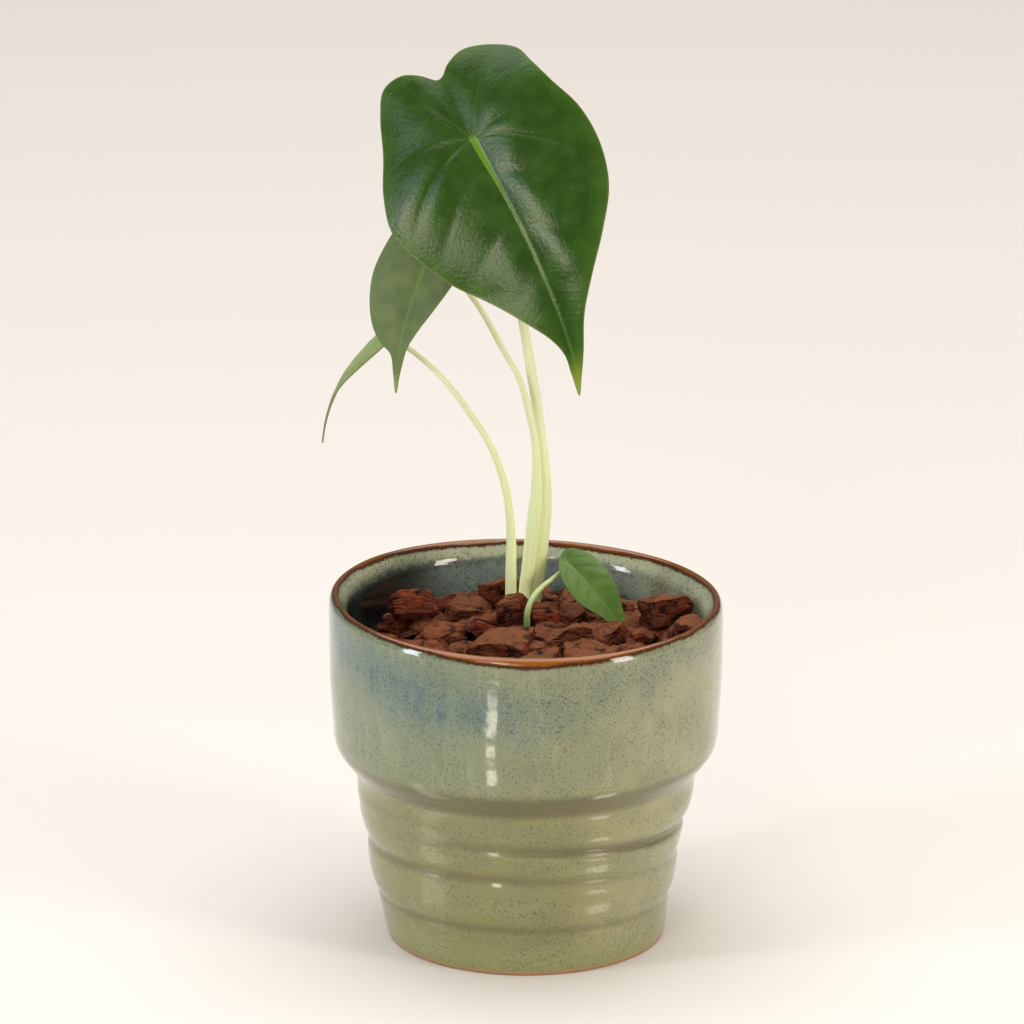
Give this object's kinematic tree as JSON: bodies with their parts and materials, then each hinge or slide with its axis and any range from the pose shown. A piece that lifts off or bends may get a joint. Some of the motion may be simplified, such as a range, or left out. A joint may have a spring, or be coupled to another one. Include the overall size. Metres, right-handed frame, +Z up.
{
  "type": "potted velvet-leaved aroid plant",
  "caption": "Small velvet-leaved aroid with heart-shaped blades on slender pale stems, rooted in potting mix and bark chips in a ribbed glazed stoneware pot.",
  "frame": {"origin": "middle of the pot's foot on the surface that it stands on", "axes": "+Z up; -Y towards the viewer of the picture, +X to the viewer's right"},
  "size_m": [0.133, 0.13, 0.2982],
  "materials": {
    "glaze": "glossy speckled reactive glaze, brown at the lip",
    "potting_mix": "damp crumb of peat and fine bark",
    "bark": "rough broken bark",
    "corm": "rough brown skin",
    "leaf": "velvety, with a soft sheen",
    "young_leaf": "satin",
    "petiole": "satin"
  },
  "bodies": {
    "root": {"pot": "glaze", "potting_mix": "potting_mix", "bark_chips": "bark", "corm": "corm", "leaf_1_blade": "leaf", "leaf_1_petiole": "petiole", "leaf_2_blade": "leaf", "leaf_2_petiole": "petiole", "leaf_3_blade": "leaf", "leaf_3_petiole": "petiole", "leaf_4_blade": "young_leaf", "leaf_4_petiole": "petiole"}
  },
  "joints": []
}
